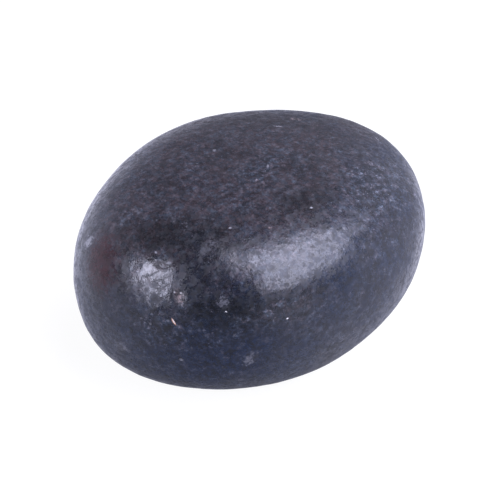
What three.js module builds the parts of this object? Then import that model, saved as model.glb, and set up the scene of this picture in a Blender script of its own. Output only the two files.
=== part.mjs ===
// A river pebble: one dark, smooth stone, longer than it is wide, with a broad worn crown, full round
// flanks and a flatter underside that it lies on.
// Millimetres. +Z is up and X runs along the stone's length. The origin is on the ground, under the
// middle of the stone.
import * as THREE from 'three';
import { mergeVertices } from 'three/addons/utils/BufferGeometryUtils.js';

// The rounded stone before its flats were worn: half its length, width and height
const halfLengths = new THREE.Vector3(31.0, 23.6, 23.2);

// The worn flats. A flat faces the way given in degrees, round from +X and up from level, and lies at a
// distance from the stone's middle. A higher wear sharpness gives the flats tighter rims.
const wearSharpness = 4;
const wornFlats = [
  { name: 'crown', around: 0, up: 85.5, distance: 14.6 },
  { name: 'underside', around: 0, up: -90, distance: 20.7 },
  { name: 'front flank', around: 212, up: -2, distance: 29.7 },
  { name: 'back flank', around: 118, up: 2, distance: 25.6 },
];

// Low swells that run across the stone as waves, so that no part of it is a true ellipsoid
const swells = [
  { around: 20, up: 10, wavelength: 31, height: 0.16, phase: 0.4 },
  { around: 115, up: 35, wavelength: 25, height: 0.12, phase: 1.9 },
  { around: 250, up: -20, wavelength: 28, height: 0.12, phase: 3.6 },
  { around: 330, up: 60, wavelength: 22, height: 0.1, phase: 5.1 },
];

// Shallow rubbed hollows, each centred on the point of the surface that lies that way from the middle
const hollows = [
  { name: 'front shoulder', around: 232, up: 38, radius: 8, depth: 0.22 },
  { name: 'right flank', around: 300, up: 12, radius: 9, depth: 0.25 },
  { name: 'crown dip', around: 30, up: 70, radius: 11, depth: 0.25 },
  { name: 'back hollow', around: 150, up: 5, radius: 8, depth: 0.2 },
];

// The flat that the stone rests on: how far it is worn up from the lowest point, and how softly its rim
// rolls over
const restWear = 0.85;
const restRimRoll = 0.35;

// Squares along each edge of the cube whose grid is drawn over the stone
const gridSquares = 24;

// Unit vector that points round from +X and up from level, in degrees
function facing({ around, up }) {
  const latitude = THREE.MathUtils.degToRad(up);
  const longitude = THREE.MathUtils.degToRad(around);
  return new THREE.Vector3(
    Math.cos(latitude) * Math.cos(longitude),
    Math.cos(latitude) * Math.sin(longitude),
    Math.sin(latitude),
  );
}

// A point of the ellipsoid drawn in towards the middle, more the further it stands past the worn flats
function wornIn(point) {
  let wear = 1;
  for (const flat of wornFlats) {
    wear += Math.max(point.dot(facing(flat)) / flat.distance, 0) ** wearSharpness;
  }
  return point.clone().multiplyScalar(wear ** (-1 / wearSharpness));
}

// The ellipsoid's point on the ray that leaves the middle in a direction
function ellipsoidPoint(direction) {
  return direction.clone().divideScalar(direction.clone().divide(halfLengths).length());
}

const hollowCentres = hollows.map((hollow) => wornIn(ellipsoidPoint(facing(hollow))));

// Height of the swells and hollows over a point of the worn stone
function reliefAt(point) {
  let height = 0;
  for (const swell of swells) {
    const turn = (2 * Math.PI * point.dot(facing(swell))) / swell.wavelength;
    height += swell.height * Math.sin(turn + swell.phase);
  }
  hollows.forEach((hollow, i) => {
    const distance = point.distanceTo(hollowCentres[i]) / hollow.radius;
    height -= hollow.depth * Math.exp(-2 * distance ** 2);
  });
  return height;
}

// A point of the stone's surface for a point of the unit sphere
function stonePoint(onSphere) {
  const worn = wornIn(onSphere.clone().multiply(halfLengths));
  return worn.addScaledVector(onSphere, reliefAt(worn));
}

// Cube point to sphere point: the tangent evens out the squares between the middle and the edges of each
// cube face
function spherePoint(onCube) {
  const even = (t) => Math.tan((t * Math.PI) / 4);
  return new THREE.Vector3(even(onCube.x), even(onCube.y), even(onCube.z)).normalize();
}

// Sets the stone on the ground: below the rest plane it is worn flat, with a rim that rolls up to the
// underside
function setDown(geometry) {
  geometry.computeBoundingBox();
  const { min, max } = geometry.boundingBox;
  geometry.translate(-(min.x + max.x) / 2, -(min.y + max.y) / 2, -(min.z + restWear));
  const position = geometry.getAttribute('position');
  for (let i = 0; i < position.count; i++) {
    const z = position.getZ(i);
    const roll = Math.max(restRimRoll - Math.abs(z), 0) ** 2 / (4 * restRimRoll);
    position.setZ(i, Math.max(z, 0) + roll);
  }
}

function stoneGeometry() {
  const box = new THREE.BoxGeometry(2, 2, 2, gridSquares, gridSquares, gridSquares);
  box.deleteAttribute('normal');
  box.deleteAttribute('uv');
  const geometry = mergeVertices(box);
  const position = geometry.getAttribute('position');
  const corner = new THREE.Vector3();
  for (let i = 0; i < position.count; i++) {
    corner.fromBufferAttribute(position, i);
    const point = stonePoint(spherePoint(corner));
    position.setXYZ(i, point.x, point.y, point.z);
  }
  setDown(geometry);
  geometry.computeVertexNormals();
  return geometry;
}

const darkStone = new THREE.MeshStandardMaterial({ color: 0x3d3f4b, roughness: 0.42, metalness: 0 });

const pebble = new THREE.Mesh(stoneGeometry(), darkStone);
pebble.name = 'pebble';

const stone = new THREE.Group();
stone.name = 'river pebble';
stone.add(pebble);

export default stone;
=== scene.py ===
import math
import bpy
import numpy as np
from mathutils import Matrix, Vector


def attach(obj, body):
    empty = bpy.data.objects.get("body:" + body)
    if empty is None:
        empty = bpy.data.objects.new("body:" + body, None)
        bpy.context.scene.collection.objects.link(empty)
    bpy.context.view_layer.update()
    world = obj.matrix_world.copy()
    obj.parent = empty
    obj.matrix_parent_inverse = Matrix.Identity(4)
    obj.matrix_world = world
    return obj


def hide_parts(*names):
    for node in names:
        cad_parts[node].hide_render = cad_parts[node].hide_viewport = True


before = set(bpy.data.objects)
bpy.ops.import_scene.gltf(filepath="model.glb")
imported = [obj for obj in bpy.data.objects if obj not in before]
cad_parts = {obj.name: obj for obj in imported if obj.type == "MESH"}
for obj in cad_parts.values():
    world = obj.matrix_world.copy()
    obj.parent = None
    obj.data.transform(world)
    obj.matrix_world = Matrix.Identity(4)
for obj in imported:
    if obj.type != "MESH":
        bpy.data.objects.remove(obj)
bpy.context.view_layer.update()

mm = 0.001

# The river pebble: one dark, water-worn stone on a pale floor. Directions on the stone are given in
# degrees, around from +X and up from level, from the middle of the stone before it was set down.


# The form of the stone, the same as the solid's, in millimetres
form = {
    "halfLengths": (31.0, 23.6, 23.2),  # of the round stone before its flats were worn
    "wearSharpness": 4,  # higher gives the flats tighter rims
    "wornFlats": (  # around, up, distance from the middle
        (0, 85.5, 14.6),  # crown
        (0, -90, 20.7),  # underside
        (212, -2, 29.7),  # front flank
        (118, 2, 25.6),  # back flank
    ),
    "swells": (  # around, up, wavelength, height, phase
        (20, 10, 31, 0.16, 0.4),
        (115, 35, 25, 0.12, 1.9),
        (250, -20, 28, 0.12, 3.6),
        (330, 60, 22, 0.1, 5.1),
    ),
    "hollows": (  # around, up, radius, depth
        (232, 38, 8, 0.22),  # front shoulder
        (300, 12, 9, 0.25),  # right flank
        (30, 70, 11, 0.25),  # crown dip
        (150, 5, 8, 0.2),  # back hollow
    ),
    "restWear": 0.85,  # how far the flat that it rests on is worn up
    "restRimRoll": 0.35,  # how softly that flat's rim rolls over
    "squares": 128,  # along each edge of the cube grid that is drawn over the stone
}


# The fine relief that the solid leaves out, in millimetres
relief = {
    "seed": 41,
    "undulation": {"waves": 48, "wavelengths": (5.0, 11.0), "height": 0.024},
    "dapple": {"waves": 110, "wavelengths": (1.5, 3.4), "height": 0.009},
    "pits": {"count": 170, "radii": (0.45, 1.1), "depths": (0.01, 0.05)},
    "lip": 0.25,  # strength of the faint lip round each pit and scar
    "fullness": (  # around, up, radius, height: where the flank swells a little past the solid
        (324, 6, 10, 0.36),
        (267.5, -24, 10, 0.30),
    ),
    "scars": (  # around, up, radius, depth: the chipped patch on the left shoulder
        (201.4, 25.0, 1.0, 0.10),
        (201.9, 18.5, 0.9, 0.09),
        (196.6, 20.0, 0.5, 0.05),
        (199.3, 21.7, 0.5, 0.05),
        (209.5, 16.2, 1.0, 0.10),
    ),
}


def facing(around, up):
    # unit vector that points round from +X and up from level
    a, u = math.radians(around), math.radians(up)
    return np.array((math.cos(u) * math.cos(a), math.cos(u) * math.sin(a), math.sin(u)))


def cubeLattice(squares):
    # whole-number points on the skin of a cube and the squares between them, as a function of two steps
    # on each of its six faces; points that faces share become one, so no seam is left open
    i, j = np.meshgrid(np.arange(squares + 1), np.arange(squares + 1), indexing="ij")
    points, quads = [], []
    for axis in range(3):
        for side in (0, squares):
            face = np.empty((squares + 1, squares + 1, 3), int)
            face[..., axis] = side
            face[..., (axis + 1) % 3] = i
            face[..., (axis + 2) % 3] = j
            number = np.arange(i.size).reshape(i.shape) + len(points) * i.size
            quad = np.stack((number[:-1, :-1], number[1:, :-1], number[1:, 1:], number[:-1, 1:]), -1)
            points.append(face.reshape(-1, 3))
            quads.append((quad if side else quad[..., ::-1]).reshape(-1, 4))
    lattice, index = np.unique(np.concatenate(points), axis=0, return_inverse=True)
    return lattice, index.reshape(-1)[np.concatenate(quads)]


def wornIn(points):
    # each point is drawn in to the middle by (1 + sum of (reach past a flat / its distance) ^ sharpness)
    # ^ (-1 / sharpness), so the ellipsoid fades softly into the flats
    sharpness = form["wearSharpness"]
    wear = np.ones(len(points))
    for around, up, distance in form["wornFlats"]:
        wear += np.maximum(points @ facing(around, up) / distance, 0) ** sharpness
    return points * wear[:, None] ** (-1 / sharpness)


def bell(points, centre, radius):
    # 1 at the centre, falling as e^(-2 * (distance / radius)^2)
    return np.exp(-2 * (np.linalg.norm(points - centre, axis=1) / radius) ** 2)


def broadRelief(points, centres):
    # the sum of the long sine swells, less a bell-shaped hollow round each centre
    height = np.zeros(len(points))
    for around, up, wavelength, crest, phase in form["swells"]:
        height += crest * np.sin(2 * np.pi * points @ facing(around, up) / wavelength + phase)
    for centre, hollow in zip(centres, form["hollows"]):
        radius, depth = hollow[2:]
        height -= depth * bell(points, centre, radius)
    return height


def onStone(directions):
    # the worn ellipsoid's point for each unit direction, lifted along it by the broad relief
    half = np.array(form["halfLengths"])
    centres = [facing(*hollow[:2]) for hollow in form["hollows"]]
    centres = wornIn(np.array([ray / np.linalg.norm(ray / half) for ray in centres]))
    worn = wornIn(directions * half)
    return worn + directions * broadRelief(worn, centres)[:, None]


def crossedWaves(points, spec, rng):
    # sine waves of random directions, lengths and phases added up to an even, knobbly ripple
    height = np.zeros(len(points))
    for _ in range(spec["waves"]):
        ray = rng.normal(size=3)
        ray /= np.linalg.norm(ray)
        turn = 2 * np.pi / rng.uniform(*spec["wavelengths"])
        height += np.sin(points @ ray * turn + rng.uniform(0, 2 * np.pi))
    return height * spec["height"] / math.sqrt(spec["waves"] / 2)


def dimple(points, centre, radius, depth):
    # a bowl with a faint raised lip: depth * (lip * r^2 - 1) * e^(-r^2), r being distance over radius
    r2 = ((points - centre) ** 2).sum(1) / radius ** 2
    return depth * (relief["lip"] * r2 - 1) * np.exp(-r2)


def towards(around, up):
    # the unit cube-sphere direction whose worn point lies that way from the middle
    ray = facing(around, up) / np.array(form["halfLengths"])
    return (ray / np.linalg.norm(ray))[None, :]


def fineRelief(points):
    # undulation and dapple all over, random pits, bell-shaped swells where the flank is fuller, and the
    # scars of the chipped patch
    rng = np.random.default_rng(relief["seed"])
    height = crossedWaves(points, relief["undulation"], rng)
    height += crossedWaves(points, relief["dapple"], rng)
    pits = relief["pits"]
    for centre in points[rng.integers(0, len(points), pits["count"])]:
        height += dimple(points, centre, rng.uniform(*pits["radii"]), rng.uniform(*pits["depths"]))
    for around, up, radius, crest in relief["fullness"]:
        height += crest * bell(points, onStone(towards(around, up))[0], radius)
    for around, up, radius, depth in relief["scars"]:
        height += dimple(points, onStone(towards(around, up))[0], radius, depth)
    return height


def setDown(points):
    # drops the stone until its underside is worn flat by restWear; the rim rolls up as a short parabola
    rim = form["restRimRoll"]
    height = points[:, 2] - points[:, 2].min() - form["restWear"]
    roll = np.maximum(rim - np.abs(height), 0) ** 2 / (4 * rim)
    points[:, 2] = np.maximum(height, 0) + roll
    points[:, :2] -= (points[:, :2].max(0) + points[:, :2].min(0)) / 2
    return points


def buildPebble():
    lattice, quads = cubeLattice(form["squares"])
    # the tangent evens out the squares between the middle and the edges of each cube face
    rays = np.tan((2 * lattice / form["squares"] - 1) * np.pi / 4)
    rays /= np.linalg.norm(rays, axis=1)[:, None]
    broad = onStone(rays)
    middle = setDown(broad.copy())
    shift = (middle - broad)[np.argmax(broad[:, 2])]  # from the stone's own middle to the set-down place
    fine = fineRelief(broad)[:, None] * rays
    sunk = np.clip(middle[:, 2:] / (2 * form["restRimRoll"]), 0, 1)  # no relief on the flat it rests on
    points = middle + fine * sunk
    mesh = bpy.data.meshes.new("pebbleSkin")
    mesh.vertices.add(len(points))
    mesh.vertices.foreach_set("co", (points * mm).astype(np.float32).ravel())
    mesh.loops.add(quads.size)
    mesh.loops.foreach_set("vertex_index", quads.astype(np.int32).ravel())
    mesh.polygons.add(len(quads))
    mesh.polygons.foreach_set("loop_start", np.arange(0, quads.size, 4, dtype=np.int32))
    mesh.polygons.foreach_set("use_smooth", np.ones(len(quads), bool))
    mesh.update(calc_edges=True)
    mesh.validate()
    pebble = bpy.data.objects.new("pebbleSkin", mesh)
    bpy.context.scene.collection.objects.link(pebble)
    print("pebble:", len(points), "points,", 2 * len(quads), "triangles")
    return pebble, shift


pebble, setShift = buildPebble()
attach(pebble, "root")
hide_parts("pebble")


# Small helpers for node trees
def addNode(tree, kind, inputs=None, **settings):
    made = tree.nodes.new(kind)
    for name, value in settings.items():
        setattr(made, name, value)
    for name, value in (inputs or {}).items():
        fill(tree, made.inputs[name], value)
    return made


def fill(tree, socket, value):
    # a socket takes a link from another socket, or a plain value
    if isinstance(value, bpy.types.NodeSocket):
        tree.links.new(value, socket)
    else:
        socket.default_value = value


def maths(tree, operation, *values):
    made = addNode(tree, "ShaderNodeMath", operation=operation)
    for socket, value in zip(made.inputs, values):
        fill(tree, socket, value)
    return made.outputs[0]


def times(tree, first, second):
    return maths(tree, "MULTIPLY", first, second)


def timesPlus(tree, first, second, third):
    return maths(tree, "MULTIPLY_ADD", first, second, third)


def lessHalf(tree, value):
    # moves a value that runs from 0 to 1 to lie round 0
    return maths(tree, "SUBTRACT", value, 0.5)


def inverse(tree, value):
    return maths(tree, "SUBTRACT", 1.0, value)


def average(tree, first, second):
    return timesPlus(tree, first, 0.5, times(tree, second, 0.5))


def vectorMaths(tree, operation, *values, scale=None):
    made = addNode(tree, "ShaderNodeVectorMath", operation=operation)
    for socket, value in zip(made.inputs, values):
        fill(tree, socket, value)
    if scale is not None:
        fill(tree, made.inputs["Scale"], scale)
    return made.outputs["Value"] if operation in ("DOT_PRODUCT", "LENGTH") else made.outputs["Vector"]


def mixColour(tree, factor, first, second, blend="MIX"):
    # inputs 6 and 7 and output 2 are the mix node's colours
    made = addNode(tree, "ShaderNodeMix", data_type="RGBA", blend_type=blend)
    fill(tree, made.inputs["Factor"], factor)
    fill(tree, made.inputs[6], first)
    fill(tree, made.inputs[7], second)
    return made.outputs[2]


def ramp(tree, value, low, high, bottom=0.0, top=1.0):
    # smooth step of a value from low to high
    made = addNode(tree, "ShaderNodeMapRange", interpolation_type="SMOOTHSTEP")
    for socket, number in zip(made.inputs[:5], (value, low, high, bottom, top)):
        fill(tree, socket, number)
    return made.outputs["Result"]


def noise(tree, position, size, detail=2.0, roughness=0.5, offset=0.0):
    # soft noise whose lumps are about size millimetres across
    place = vectorMaths(tree, "ADD", position, (offset, -offset, 2 * offset)) if offset else position
    made = addNode(tree, "ShaderNodeTexNoise", {"Vector": place, "Scale": 1 / size,
                                                "Detail": detail, "Roughness": roughness})
    return made.outputs["Fac"]


def newGroup(name, inputs, outputs):
    group = bpy.data.node_groups.new(name, "ShaderNodeTree")
    for title, kind in inputs.items():
        group.interface.new_socket(name=title, in_out="INPUT", socket_type=kind)
    for title, kind in outputs.items():
        group.interface.new_socket(name=title, in_out="OUTPUT", socket_type=kind)
    return group, group.nodes.new("NodeGroupInput").outputs, group.nodes.new("NodeGroupOutput").inputs


def useGroup(tree, group, values):
    made = addNode(tree, "ShaderNodeGroup", node_tree=group)
    for name, value in values.items():
        fill(tree, made.inputs[name], value)
    return made.outputs


spotRim = {  # reach from a mark's centre, 1 being its edge, over which its rim fades in and out again
    "fadeIn": (0.45, 0.8),
    "fadeOut": (0.95, 1.35),
}


def makeSpotGroup():
    # mask of one ragged oval mark: the distance from its centre, counted in long radii along its long
    # axis and in short radii across it, is roughened by noise and then faded from 1 to 0; Rim is the
    # mark's edge alone
    group, given, result = newGroup("spotMark", {
        "Position": "NodeSocketVector", "Centre": "NodeSocketVector", "Long Axis": "NodeSocketVector",
        "Long Radius": "NodeSocketFloat", "Short Radius": "NodeSocketFloat",
        "Softness": "NodeSocketFloat", "Raggedness": "NodeSocketFloat", "Wobble": "NodeSocketFloat",
    }, {"Mask": "NodeSocketFloat", "Rim": "NodeSocketFloat"})
    away = vectorMaths(group, "SUBTRACT", given["Position"], given["Centre"])
    along = vectorMaths(group, "DOT_PRODUCT", away, given["Long Axis"])
    whole = vectorMaths(group, "LENGTH", away)
    across2 = maths(group, "SUBTRACT", times(group, whole, whole), times(group, along, along))
    across = maths(group, "SQRT", maths(group, "MAXIMUM", across2, 0.0))
    across = maths(group, "DIVIDE", across, given["Short Radius"])
    along = maths(group, "DIVIDE", along, given["Long Radius"])
    reach = maths(group, "ADD", times(group, across, across), times(group, along, along))
    rough = times(group, lessHalf(group, given["Wobble"]), given["Raggedness"])
    reach = maths(group, "ADD", maths(group, "SQRT", reach), rough)
    inner = inverse(group, given["Softness"])
    outer = maths(group, "ADD", 1.0, given["Softness"])
    fill(group, result["Mask"], ramp(group, reach, inner, outer, 1.0, 0.0))
    rim = ramp(group, reach, *spotRim["fadeIn"])
    fill(group, result["Rim"], times(group, rim, ramp(group, reach, *spotRim["fadeOut"], 1.0, 0.0)))
    return group


grainCells = {
    "warpLump": 0.5,  # size of the noise that bends the cells, in millimetres
    "warpDetail": 2.0,
    "warp": 0.35,  # how far it bends them
    "softDetail": 2.0, "softRoughness": 0.6,  # of the noise that is blended into the brightness
    "softSteps": (0.32, 0.68),  # between which that noise goes from dark to pale
    "cellShare": 0.4, "softShare": 0.6,  # shares of the two in a grain's brightness
    "heart": (0.15, 0.4),  # distances from a cell's middle over which a speck fades away
    "hollow": (0.48, 0.34),  # noise values at which polish begins to miss and has missed
}


def makeGrainGroup():
    # crystal grains: every cell of a Voronoi pattern has its own brightness and tint, from 0 to 1, with
    # soft noise blended into the brightness; Speck picks out the small hearts of a few pale cells, and
    # Hollow is where the polish has missed
    group, given, result = newGroup("mineralGrain", {
        "Position": "NodeSocketVector", "Cells Per Millimetre": "NodeSocketFloat",
        "Speck Share": "NodeSocketFloat",
    }, {"Grain": "NodeSocketFloat", "Tint": "NodeSocketFloat", "Speck": "NodeSocketFloat",
        "Hollow": "NodeSocketFloat"})
    spec = grainCells
    density = given["Cells Per Millimetre"]
    warp = addNode(group, "ShaderNodeTexNoise", {"Vector": given["Position"],
                                                 "Scale": 1 / spec["warpLump"],
                                                 "Detail": spec["warpDetail"]})
    bend = vectorMaths(group, "SCALE", warp.outputs["Color"], scale=spec["warp"])
    place = vectorMaths(group, "ADD", given["Position"], bend)
    cells = addNode(group, "ShaderNodeTexVoronoi", {"Vector": place, "Scale": density})
    parts = addNode(group, "ShaderNodeSeparateColor", {"Color": cells.outputs["Color"]})
    soft = addNode(group, "ShaderNodeTexNoise", {"Vector": place, "Scale": density,
                                                 "Detail": spec["softDetail"],
                                                 "Roughness": spec["softRoughness"]})
    softened = ramp(group, soft.outputs["Fac"], *spec["softSteps"])
    blend = maths(group, "ADD", times(group, parts.outputs["Red"], spec["cellShare"]),
                  times(group, softened, spec["softShare"]))
    fill(group, result["Grain"], blend)
    fill(group, result["Tint"], parts.outputs["Blue"])
    edge = inverse(group, given["Speck Share"])
    chosen = maths(group, "GREATER_THAN", parts.outputs["Green"], edge)
    core = ramp(group, cells.outputs["Distance"], *spec["heart"], 1.0, 0.0)
    fill(group, result["Speck"], times(group, chosen, core))
    fill(group, result["Hollow"], ramp(group, soft.outputs["Fac"], *spec["hollow"]))
    return group


# The stone's colours, marks and polish. Lengths are in millimetres, and a mark's lean is in degrees up
# from level along the surface.
stoneLook = {
    "purpleGrey": (0.0326, 0.0291, 0.0338, 1),
    "navy": (0.0017, 0.0086, 0.0258, 1),
    "deepNavy": (0.0005, 0.0090, 0.0325, 1),
    "slate": (0.0090, 0.0124, 0.0230, 1),
    "steel": (0.0078, 0.0134, 0.0280, 1),
    "ash": (0.0200, 0.0190, 0.0210, 1),
    # pale blue-grey painted sheen for the left rim
    "rimSheenMist": (0.0230, 0.0240, 0.0320, 1),
    "frost": (0.055, 0.057, 0.070, 1),
    # dark umber: the stone's own warm clouds and dull cracks, and also painted shade on the shoulder
    "umberAndShade": (0.0082, 0.0079, 0.0096, 1),
    # painted shade: near-black for the dark reflection between the two highlights
    "gapShadeInk": (0.0026, 0.0038, 0.0080, 1),
    # painted shade: dark navy for the dark reflection low on the front flank
    "frontShadeMidnight": (0.0016, 0.0034, 0.0074, 1),
    # pale haze colour, which near the rims also stands as painted sheen
    "veilAndSheen": (0.030, 0.035, 0.046, 1),
    "granule": (0.96, 1.0, 1.14),  # colour of the palest grains, before the tone's own brightness
    "speck": (0.24, 0.24, 0.26, 1),
    "bruise": (0.105, 0.105, 0.118, 1),
    "chalk": (0.62, 0.60, 0.60, 1),
    "ivory": (0.56, 0.54, 0.53, 1),
    "blush": (0.18, 0.14, 0.135, 1),
    "rust": (0.022, 0.0003, 0.0030, 1),
    "ochre": (0.55, 0.27, 0.13, 1),
    "warmGrain": (1.17, 0.97, 0.93, 1),  # this tint and the next multiply the tone of single grains
    "coolGrain": (0.85, 1.0, 1.08, 1),
    "crownEdge": (24.5, 29.5),  # heights between which the flank's tone gives way to the crown's
    "roughness": 0.205,
    "refraction": 1.55,
}

# How the tones, grain and polish are mixed. Steps are the two values of a noise between which a tone or
# an effect fades in, and after them, where they are given, how much of it there is before and after.
stoneMix = {
    "noises": {  # size of the lumps, detail, roughness, offset
        "wobble": (0.5, 3.0, 0.65, 0.0),
        "clouds": (12, 2.5, 0.55, 3.1),
        "warmth": (8, 3.0, 0.6, 17.4),
        "haze": (4.5, 4.0, 0.7, 41.0),
        "mottle": (1.5, 2.0, 0.6, 63.0),
        "bedding": (1.0, 3.0, 0.6, 14.0),
        "smear": (1.1, 2.0, 0.6, 9.0),
        "lumps": (0.34, 1.0, 0.5, 5.0),
    },
    "wobbleSpread": (2.5, -0.75),  # multiplies and shifts the noise that makes the marks ragged
    "crownDrift": 14.0,  # how far the clouds move the crown's edge up and down
    "slateSteps": (0.42, 0.66),
    "umberSteps": (0.52, 0.7, 0, 0.6),
    "hazeSteps": (0.4, 0.72),
    "hazeShare": 0.35,  # how much veil the haze brings by itself
    "veilShare": 0.85,  # how much of the tone the thickest veil hides
    "grains": {
        "coarse": {"Cells Per Millimetre": 1.5, "Speck Share": 0.04},
        "fine": {"Cells Per Millimetre": 3.4, "Speck Share": 0.06},
    },
    "bedTurn": 40,  # degrees round from +X
    "bedStretch": (0.15, 0.8, 0.8),  # lumps per millimetre along and across the bedding
    "mottleInGrain": 0.9,
    "bedInGrain": 0.6,
    "evenGrain": 0.57,  # the brightness of a grain that leaves the tone as it is
    "contrast": {"flank": 3.5, "crown": -1.5, "veilAndSheen": 2.2, "stain": -1.0},  # the last three are added on
    "paleSteps": (0.9, 1.9, 0.0, 0.75),
    "tintSteps": (0.2, 0.8),
    "speckShare": {"veilAndSheen": 0.6, "everywhere": 0.08},
    "throughSteps": (0.42, 0.68, 0.15, 1.0),
    "dullTone": 0.5,  # how much umber the cracks and the rings round pits take
    "missed": {"coarse": 0.26, "fine": 0.18, "smear": 0.22, "dull": 0.3},  # added to the roughness
    "smearSteps": (0.54, 0.38),
    "polishedRoughness": -0.03,
    # what each adds to the height of the bump, and how deep a height of 1 is
    "bump": {"lumps": 0.35, "smear": 1.5, "polished": -0.6, "dull": 0.4, "depth": 0.033},
}

# Each mark: around, up, long radius, short radius, lean, softness, raggedness, strength
# Some washes are painted light: the shoulder band and streak and the shade washes are painted shade, the
# front gap and pool are painted dark reflections, and the left rim's mist is a painted sheen
washes = {  # broad clouds of each tone, from the first laid down to the last
    "umberAndShade": {
        # painted shade: the shoulder band and streak darken the shoulder where the crown turns down
        # towards the highlights
        "shoulderShadeBand": (204, 36, 8.0, 3.0, 10, 0.9, 0.6, 1.0),
        "shoulderShadeStreak": (168, 47, 6.5, 1.1, -14, 1.0, 1.0, 0.5),
        "ridgeShade": (280, 47, 5.0, 2.3, -10, 1.0, 1.0, 0.8),
        "stainEdge": (189, 17, 3.0, 1.0, 100, 1.0, 1.2, 0.5),
        "farShade": (35, 37, 10.0, 2.8, 12, 1.0, 0.8, 0.55),
        "cornerShade": (342, 32, 4.0, 2.2, 0, 1.0, 1.0, 0.5),
    },
    "gapShadeInk": {
        # painted shade: the dark gap between the two highlights, where the dark room round the camera is
        # reflected
        "paintedGapShade": (214, 23, 5.5, 3.4, 60, 0.9, 0.6, 0.9),
    },
    "frontShadeMidnight": {
        # painted shade: the dark pool low on the front flank, where the dark room in front is reflected
        "paintedFrontShade": (229, 12, 6.0, 2.7, 0, 0.9, 0.6, 1.0),
    },
    "ash": {
        "frontGrey": (250, 12, 4.6, 4.0, 20, 1.0, 1.0, 0.85),
    },
    "deepNavy": {
        "frontBlue": (222, -14, 11.5, 6.0, 0, 1.0, 0.8, 0.85),
    },
    "steel": {
        "rightBlue": (296, 32, 4.5, 2.6, 0, 1.0, 1.0, 0.7),
    },
    "rimSheenMist": {
        # painted reflection: the pale sheen along the left rim
        "leftRimSheen": (141, 35, 9.0, 3.0, -13, 1.0, 1.0, 0.8),
    },
    "frost": {
        "leftRimTop": (120, 36.5, 3.2, 1.8, 0, 1.0, 1.0, 0.75),
        "crownFrost": (301, 77, 3.4, 1.6, 0, 1.0, 1.4, 0.45),
        "farFrost": (335, 56, 2.4, 1.2, 0, 1.0, 1.4, 0.3),
        "leftFrost": (153, 62, 4.0, 1.6, 0, 1.0, 1.4, 0.25),
        "rightFrost": (304, 34, 2.6, 2.0, 0, 1.0, 1.4, 0.35),
    },
    "rust": {
        "stain": (179.2, 17.2, 4.0, 2.7, 112, 0.5, 0.9, 1.0),
    },
}
stoneMarks = {  # soft marks that the grain shows through
    "bruise": {
        "paleChipLower": (210.6, 13.9, 0.55, 0.4, -50, 0.5, 1.2, 1.0),
        "blueSpot": (224, 16, 1.1, 0.8, -60, 0.6, 1.4, 0.7),
        "leftBlotch": (190.1, -8.8, 0.9, 0.7, 0, 0.6, 1.2, 1.0),
        "frontBlotch": (234, -9, 1.2, 0.8, 60, 0.6, 1.4, 0.85),
        "frontRing": (215.5, 6.2, 0.8, 0.7, 0, 0.9, 1.0, 0.3),
        "shoulderPatch": (218, 35, 1.7, 0.8, 37, 1.0, 1.8, 0.45),
        "ridgePatch": (232.5, 28, 1.7, 0.8, 10, 1.0, 1.8, 0.6),
        "crownRowLeft": (177, 36, 1.4, 0.3, 0, 0.7, 1.8, 0.5),
        "crownRowMid": (194, 41, 0.6, 0.35, 0, 0.7, 1.8, 0.5),
        "crownRowRight": (211, 45, 0.8, 0.35, 0, 0.7, 1.8, 0.4),
        "crownRowEnd": (201, 40, 0.4, 0.3, 0, 0.7, 1.8, 0.5),
        "crownBlotch": (281, 55, 1.4, 0.8, 0, 0.9, 2.0, 0.25),
        "leftStreak": (157, 30, 0.7, 0.2, 30, 0.6, 1.4, 0.6),
    },
    "blush": {
        "farPink": (22, 33, 0.8, 0.5, 0, 0.6, 1.6, 0.8),
        "bandPink": (247, 41, 0.25, 0.2, 0, 0.5, 0.6, 1.0),
        "ridgePink": (234, 27.4, 0.4, 0.25, 60, 0.5, 1.2, 1.0),
        "chipPatch": (209.2, 16.6, 0.95, 0.55, -70, 0.6, 1.6, 1.0),
    },
}
surfaceMarks = {  # small clear marks that cover the grain
    "speck": {
        "rimPatch": (170, 20, 0.8, 0.65, 60, 0.5, 1.6, 0.9),
        "crownFleck": (99, 70, 0.3, 0.22, 0, 0.6, 1.0, 0.5),
        "farFleck": (25, 43, 0.6, 0.25, 0, 0.6, 1.4, 0.6),
        "rightFleck": (278, 43, 0.2, 0.16, 0, 0.5, 0.8, 1.0),
        "bandFleck": (225, 42, 0.22, 0.16, 20, 0.5, 0.8, 0.8),
        "shoulderFleck": (197, 28, 0.2, 0.15, 0, 0.5, 0.8, 0.7),
        "ridgeFleck": (203.5, 26.2, 0.4, 0.15, 0, 0.6, 1.2, 0.6),
        "flankFleck": (283, 30, 0.45, 0.2, 70, 1.0, 1.4, 0.5),
        "lowFleck": (210, -9, 0.25, 0.2, 0, 0.6, 1.2, 0.5),
        "edgeFleck": (354, 20, 0.5, 0.2, 0, 0.6, 1.4, 0.5),
        "scratch": (314, 74, 0.55, 0.14, 20, 0.6, 1.2, 0.6),
    },
    "chalk": {
        "frontDot": (247, 7.2, 0.16, 0.12, 10, 0.4, 0.2, 1.0),
        "leftDot": (225.4, 12.4, 0.14, 0.10, -20, 0.4, 0.2, 1.0),
        "chipDotLeft": (207.6, 17.4, 0.15, 0.12, 30, 0.6, 0.6, 0.45),
        "chipDotRight": (209.8, 17.6, 0.17, 0.14, -40, 0.6, 0.6, 0.6),
        "pitDot": (203.6, 19.0, 0.16, 0.13, 0, 0.6, 0.4, 0.5),
    },
    "ochre": {
        "dash": (208.1, 7.0, 0.54, 0.14, -60, 0.35, 0.2, 1.0),
    },
    "ivory": {
        "dashHeart": (208.1, 7.1, 0.44, 0.08, -60, 0.4, 0.2, 1.0),
    },
}
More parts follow.
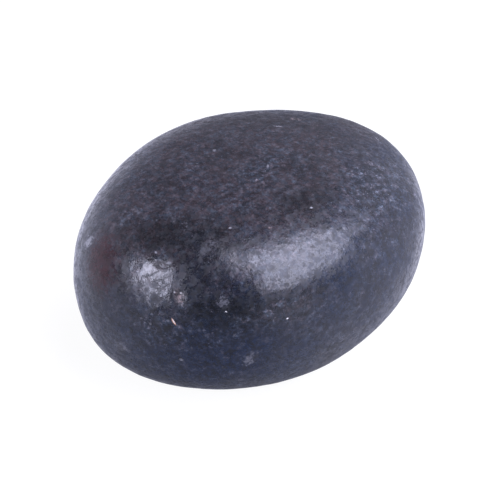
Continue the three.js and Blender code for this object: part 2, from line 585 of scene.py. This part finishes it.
# The veils are real pale haze with specks; the right and edge veils are also painted sheen along the
# right rim, and the left rim veil is painted sheen
hazeAndSheenVeils = {  # where a thin pale haze covers the tone
    # partly painted sheen: the pale band just inside the right rim, over the speckled haze
    "rightSheenVeil": (319, 28, 8.5, 3.8, -20, 1.0, 1.2, 0.95),
    "edgeSheenVeil": (308, 34.5, 3.8, 2.5, 0, 1.0, 1.2, 0.85),
    "ridgeVeil": (250, 33, 7.0, 2.0, 3, 1.0, 1.2, 0.5),
    "rightFlankVeil": (297, 26, 7.0, 4.5, 0, 1.0, 1.0, 0.4),
    "crownVeil": (301, 77, 4.5, 2.4, 0, 1.0, 1.4, 0.55),
    # painted reflection: pale sheen along the left rim
    "leftRimSheenVeil": (150, 34, 7.0, 2.5, -13, 1.0, 1.2, 0.35),
    "leftVeil": (160, 12, 6.0, 4.0, 90, 1.0, 1.0, 0.3),
    "lowVeil": (204, 4, 3.4, 2.8, 0, 1.0, 1.2, 0.55),
    "chipVeil": (216, 20, 4.5, 2.8, -50, 1.0, 1.2, 0.22),
}
cracks = {  # dull hairlines
    "crackLeft": (196.6, 20, 0.7, 0.15, 18, 0.6, 1.0, 0.8),
    "crackRight": (199.3, 21.7, 0.85, 0.15, 39, 0.6, 1.0, 0.8),
    "chipShadow": (208, 15.5, 0.9, 0.3, -60, 0.6, 1.2, 0.7),
}
rings = {  # pits whose rims alone are dull
    "upperPit": (201.4, 25.2, 1.05, 0.55, 13, 0.5, 1.0, 0.7),
    "lowerPit": (201.9, 18.5, 0.8, 0.65, 13, 0.5, 1.0, 0.6),
}
polished = {  # places with the smoothest polish
    "leftShine": (197, 22.5, 2.8, 1.9, 20, 0.8, 0.9, 0.85),
    "frontShine": (225, 25, 2.6, 2.2, 0, 0.9, 0.9, 0.6),
}


def markMask(tree, group, position, wobble, spec, part="Mask"):
    # a mark's centre and long axis come from its direction, from the same form as the stone
    around, up, longRadius, shortRadius, lean, softness, raggedness, strength = spec
    ray = towards(around, up)
    centre = onStone(ray)[0]
    outward = Vector(centre / np.array(form["halfLengths"]) ** 2).normalized()
    level = Vector((0, 0, 1)).cross(outward).normalized()
    rise = outward.cross(level)
    axis = math.cos(math.radians(lean)) * level + math.sin(math.radians(lean)) * rise
    spot = useGroup(tree, group, {
        "Position": position, "Centre": Vector(centre + setShift), "Long Axis": axis,
        "Long Radius": longRadius, "Short Radius": shortRadius,
        "Softness": softness, "Raggedness": raggedness, "Wobble": wobble,
    })
    return times(tree, spot[part], strength)


def joinMasks(tree, masks):
    joined = masks[0]
    for mask in masks[1:]:
        joined = maths(tree, "MAXIMUM", joined, mask)
    return joined


def stoneNoise(tree, position, name):
    return noise(tree, position, *stoneMix["noises"][name])


def makeMarker(tree, position):
    # gives a function that joins the masks of a dictionary of marks, all made ragged by one noise
    group = makeSpotGroup()
    wobble = timesPlus(tree, stoneNoise(tree, position, "wobble"), *stoneMix["wobbleSpread"])

    def marked(marks, part="Mask"):
        return joinMasks(tree, [markMask(tree, group, position, wobble, spec, part)
                                for spec in marks.values()])

    return marked


def broadTone(tree, position, marked):
    # purple-grey crown and navy flanks, with clouds of slate and umber and then the washes, some of them
    # painted shade and painted sheen; the share of crown and the mask of the rust stain go with the
    # colour, as other steps need them
    look, mix = stoneLook, stoneMix
    clouds = stoneNoise(tree, position, "clouds")
    warmth = stoneNoise(tree, position, "warmth")
    height = addNode(tree, "ShaderNodeSeparateXYZ", {"Vector": position}).outputs["Z"]
    height = timesPlus(tree, lessHalf(tree, clouds), mix["crownDrift"], height)
    crown = ramp(tree, height, *look["crownEdge"])
    flank = mixColour(tree, ramp(tree, clouds, *mix["slateSteps"]), look["navy"], look["slate"])
    colour = mixColour(tree, crown, flank, look["purpleGrey"])
    colour = mixColour(tree, ramp(tree, warmth, *mix["umberSteps"]), colour, look["umberAndShade"])
    masks = {tone: marked(marks) for tone, marks in washes.items()}
    for tone, mask in masks.items():
        colour = mixColour(tree, mask, colour, look[tone])
    return colour, crown, masks["rust"]


def addVeilAndSheen(tree, position, marked, colour, stained):
    # a thin pale haze, in patches and where the veils are, that leaves the stain clear; along the rims
    # the veils are also painted sheen
    mix = stoneMix
    haze = ramp(tree, stoneNoise(tree, position, "haze"), *mix["hazeSteps"])
    veilAndSheen = maths(tree, "MAXIMUM", times(tree, haze, mix["hazeShare"]), marked(hazeAndSheenVeils))
    veilAndSheen = times(tree, veilAndSheen, inverse(tree, stained))
    return mixColour(tree, times(tree, veilAndSheen, mix["veilShare"]), colour, stoneLook["veilAndSheen"]), veilAndSheen


def grainBrightness(tree, position, coarse, fine):
    # grains of two sizes in equal parts, with mottle and faint streaks along the bedding
    mix = stoneMix
    mottle = stoneNoise(tree, position, "mottle")
    bed = addNode(tree, "ShaderNodeMapping", {"Vector": position, "Scale": mix["bedStretch"],
                                              "Rotation": (0, 0, math.radians(mix["bedTurn"]))})
    bed = stoneNoise(tree, bed.outputs[0], "bedding")
    grain = average(tree, coarse["Grain"], fine["Grain"])
    grain = timesPlus(tree, lessHalf(tree, mottle), mix["mottleInGrain"], grain)
    return timesPlus(tree, lessHalf(tree, bed), mix["bedInGrain"], grain)


def addGrain(tree, colour, grain, tint, crown, veilAndSheen, stained):
    # the tone is multiplied by e^(contrast * (brightness - evenGrain)), the palest grains lose most of
    # their colour, and each grain has its own tint
    look, mix = stoneLook, stoneMix
    force = mix["contrast"]
    contrast = timesPlus(tree, crown, force["crown"], force["flank"])
    contrast = timesPlus(tree, veilAndSheen, force["veilAndSheen"], contrast)
    contrast = timesPlus(tree, stained, force["stain"], contrast)
    power = times(tree, contrast, maths(tree, "SUBTRACT", grain, mix["evenGrain"]))
    lift = maths(tree, "EXPONENT", power)
    own = addNode(tree, "ShaderNodeRGBToBW", {"Color": colour}).outputs["Val"]
    granule = vectorMaths(tree, "SCALE", look["granule"], scale=own)
    colour = mixColour(tree, ramp(tree, lift, *mix["paleSteps"]), colour, granule)
    colour = vectorMaths(tree, "SCALE", colour, scale=lift)
    tint = mixColour(tree, ramp(tree, tint, *mix["tintSteps"]), look["warmGrain"], look["coolGrain"])
    return mixColour(tree, 1.0, colour, tint, "MULTIPLY")


def addSpecks(tree, colour, specks, veilAndSheen):
    # a few pale grains all over, and many more where the veil is thick
    shares = stoneMix["speckShare"]
    share = timesPlus(tree, veilAndSheen, shares["veilAndSheen"], shares["everywhere"])
    return mixColour(tree, times(tree, specks, share), colour, stoneLook["speck"])


def addMarks(tree, marked, colour, grain, dull):
    # the marks that can be told apart in the stone, with the grain showing through the soft ones
    look, mix = stoneLook, stoneMix
    through = ramp(tree, grain, *mix["throughSteps"])
    for tone, marks in stoneMarks.items():
        colour = mixColour(tree, times(tree, marked(marks), through), colour, look[tone])
    for tone, marks in surfaceMarks.items():
        colour = mixColour(tree, marked(marks), colour, look[tone])
    return mixColour(tree, times(tree, dull, mix["dullTone"]), colour, look["umberAndShade"])


def polish(tree, position, marked, coarse, fine, dull):
    # hollows between the grains and the chipped marks are dull, and the bump follows the grains; this
    # gives the roughness and the height for the bump
    missed, bump = stoneMix["missed"], stoneMix["bump"]
    smear = stoneNoise(tree, position, "smear")
    smeared = ramp(tree, smear, *stoneMix["smearSteps"])
    rough = joinMasks(tree, [times(tree, coarse["Hollow"], missed["coarse"]),
                             times(tree, fine["Hollow"], missed["fine"]),
                             times(tree, smeared, missed["smear"])])
    smooth = marked(polished)
    rough = times(tree, rough, inverse(tree, smooth))
    rough = maths(tree, "MAXIMUM", rough, times(tree, dull, missed["dull"]))
    base = timesPlus(tree, smooth, stoneMix["polishedRoughness"], stoneLook["roughness"])
    lumps = stoneNoise(tree, position, "lumps")
    height = maths(tree, "ADD", times(tree, lumps, bump["lumps"]), times(tree, smear, bump["smear"]))
    height = times(tree, height, timesPlus(tree, smooth, bump["polished"], 1.0))
    height = maths(tree, "SUBTRACT", height, times(tree, dull, bump["dull"]))
    return maths(tree, "ADD", rough, base), height


def stoneMaterial():
    material = bpy.data.materials.new("darkRiverStone")
    material.use_nodes = True
    tree = material.node_tree
    tree.nodes.clear()
    place = addNode(tree, "ShaderNodeTexCoord").outputs["Object"]
    position = vectorMaths(tree, "SCALE", place, scale=1 / mm)
    marked = makeMarker(tree, position)
    grainGroup = makeGrainGroup()
    coarse, fine = [useGroup(tree, grainGroup, {"Position": position, **size})
                    for size in stoneMix["grains"].values()]
    dull = joinMasks(tree, [marked(cracks), marked(rings, "Rim")])

    colour, crown, stained = broadTone(tree, position, marked)
    colour, veilAndSheen = addVeilAndSheen(tree, position, marked, colour, stained)
    grain = grainBrightness(tree, position, coarse, fine)
    tint = average(tree, coarse["Tint"], fine["Tint"])
    colour = addGrain(tree, colour, grain, tint, crown, veilAndSheen, stained)
    colour = addSpecks(tree, colour, joinMasks(tree, [coarse["Speck"], fine["Speck"]]), veilAndSheen)
    colour = addMarks(tree, marked, colour, grain, dull)
    roughness, height = polish(tree, position, marked, coarse, fine, dull)
    bump = addNode(tree, "ShaderNodeBump", {"Height": height, "Strength": 1.0,
                                            "Distance": stoneMix["bump"]["depth"] * mm})
    shader = addNode(tree, "ShaderNodeBsdfPrincipled", {
        "Base Color": colour, "Roughness": roughness, "IOR": stoneLook["refraction"],
        "Normal": bump.outputs["Normal"],
    })
    addNode(tree, "ShaderNodeOutputMaterial", {"Surface": shader.outputs["BSDF"]})
    return material


pebble.data.materials.append(stoneMaterial())
print("stone material done")


# The studio. Directions of lights are degrees round from the camera to the right, and up from level.
camera = {
    "azimuth": -39.7, "elevation": 37.3, "distance": 0.2846,  # metres
    "lens": 135, "sensor": 36,
    "clip": (0.01, 20),
    "aim": (-0.00064, 0.00003),  # right and up from a point 15 mm over the middle of the resting place
    "aimHeight": 0.015,
}
studio = {
    "lightColour": (0.90, 0.91, 1.16),
    "ambient": 0.07,
    "panels": {  # corners in order round the panel, softness of its edges, brightness
        "right": (((25.5, 71), (28.5, 7.5), (50, 13), (117, 39), (116, 80)), 0.10, 7.0),
        "left": (((-53.5, 37), (-44.5, 46), (-33.5, -8), (-36, -10)), 0.04, 18.0),
    },
    "glows": {  # around, up, brightness, tightness
        "leftWall": (-117, -3, 1.38, 4.5),
        "rightWall": (108, -2, 0.92, 4.0),
        "behindLeft": (-155, -23, 1.06, 13.5),
        "behindRight": (143, -29, 1.38, 22.0),
        "farRight": (149, 15, 0.58, 18.0),
        "nearRight": (85, 3, 0.39, 9.0),
        "upperLeft": (-109, 27, 0.44, 14.5),
        "tableRight": (51, -34, 0.82, 6.6),
        "tableLeft": (-65, -36, 0.70, 4.2),
        "tableFar": (99, -59, 0.49, 10.0),
    },
    "floorSize": 6.0,
    "floorWhite": (0.12, 0.92),  # share of light thrown back to the camera, and own brightness
}


def fromCamera(around, up):
    # world direction of a place given round from the camera's own azimuth
    a, e = math.radians(camera["azimuth"] + around), math.radians(up)
    return Vector((math.sin(a) * math.cos(e), -math.cos(a) * math.cos(e), math.sin(e)))


def addCamera():
    data = bpy.data.cameras.new("camera")
    data.lens, data.sensor_width = camera["lens"], camera["sensor"]
    data.clip_start, data.clip_end = camera["clip"]
    eye = bpy.data.objects.new("camera", data)
    back = fromCamera(0, camera["elevation"])
    right = Vector((0, 0, 1)).cross(back).normalized()
    up = back.cross(right)
    aim = right * camera["aim"][0] + up * camera["aim"][1] + Vector((0, 0, camera["aimHeight"]))
    eye.rotation_mode = "QUATERNION"
    eye.rotation_quaternion = Matrix((right, up, back)).transposed().to_quaternion()
    eye.location = aim + back * camera["distance"]
    bpy.context.scene.collection.objects.link(eye)
    bpy.context.scene.camera = eye


def addPanel(tree, ray, corners, softness, brightness):
    # a bright panel far away, its corners all bulging outwards: the product of soft steps across the
    # plane through each edge and the stone
    corners = [fromCamera(*corner) for corner in corners]
    middle = sum(corners, Vector())
    panel = brightness
    for first, second in zip(corners, corners[1:] + corners[:1]):
        inward = first.cross(second).normalized()
        if inward.dot(middle) < 0:
            inward.negate()
        side = vectorMaths(tree, "DOT_PRODUCT", ray, inward)
        panel = times(tree, panel, ramp(tree, side, -softness, softness))
    return panel


def addRoom():
    # all the light comes from the room round the stone: an even dimness, wide glows whose brightness
    # falls as e^(tightness * (cosine of the angle from their middle - 1)), and two bright panels
    world = bpy.data.worlds.new("room")
    world.use_nodes = True
    tree = world.node_tree
    tree.nodes.clear()
    ray = addNode(tree, "ShaderNodeTexCoord").outputs["Generated"]
    strength = studio["ambient"]
    for around, up, brightness, tightness in studio["glows"].values():
        near = vectorMaths(tree, "DOT_PRODUCT", ray, fromCamera(around, up))
        glow = maths(tree, "EXPONENT", times(tree, maths(tree, "SUBTRACT", near, 1.0), tightness))
        strength = timesPlus(tree, glow, brightness, strength)
    for corners, softness, brightness in studio["panels"].values():
        strength = maths(tree, "ADD", strength, addPanel(tree, ray, corners, softness, brightness))
    lit = addNode(tree, "ShaderNodeBackground", {"Color": (*studio["lightColour"], 1),
                                                 "Strength": strength})
    plain = addNode(tree, "ShaderNodeBackground", {"Color": (1, 1, 1, 1)})  # past the floor's far edge
    mixed = mixForCamera(tree, lit.outputs[0], plain.outputs[0])
    addNode(tree, "ShaderNodeOutputWorld", {"Surface": mixed})
    bpy.context.scene.world = world


def mixForCamera(tree, forLight, forCamera):
    seen = addNode(tree, "ShaderNodeLightPath").outputs["Is Camera Ray"]
    mixed = addNode(tree, "ShaderNodeMixShader")
    for socket, value in zip(mixed.inputs, (seen, forLight, forCamera)):
        fill(tree, socket, value)
    return mixed.outputs[0]


def addFloor():
    # a plain floor that looks white in the picture; light passes it, because the room's glows already
    # stand for what the floor throws back on the stone
    half = studio["floorSize"] / 2
    mesh = bpy.data.meshes.new("floor")
    corners = [(-half, -half, 0), (half, -half, 0), (half, half, 0), (-half, half, 0)]
    mesh.from_pydata(corners, [], [(0, 1, 2, 3)])
    floor = bpy.data.objects.new("floor", mesh)
    bpy.context.scene.collection.objects.link(floor)
    material = bpy.data.materials.new("paleFloor")
    material.use_nodes = True
    tree = material.node_tree
    tree.nodes.clear()
    share, glow = studio["floorWhite"]
    matt = addNode(tree, "ShaderNodeBsdfDiffuse", {"Color": (share, share, share, 1)})
    lit = addNode(tree, "ShaderNodeEmission", {"Strength": glow})
    both = addNode(tree, "ShaderNodeAddShader")
    fill(tree, both.inputs[0], matt.outputs[0])
    fill(tree, both.inputs[1], lit.outputs[0])
    clear = addNode(tree, "ShaderNodeBsdfTransparent")
    surface = mixForCamera(tree, clear.outputs[0], both.outputs[0])
    addNode(tree, "ShaderNodeOutputMaterial", {"Surface": surface})
    mesh.materials.append(material)


addCamera()
addRoom()
addFloor()
bpy.context.scene.view_settings.view_transform = "Standard"
print("studio done")
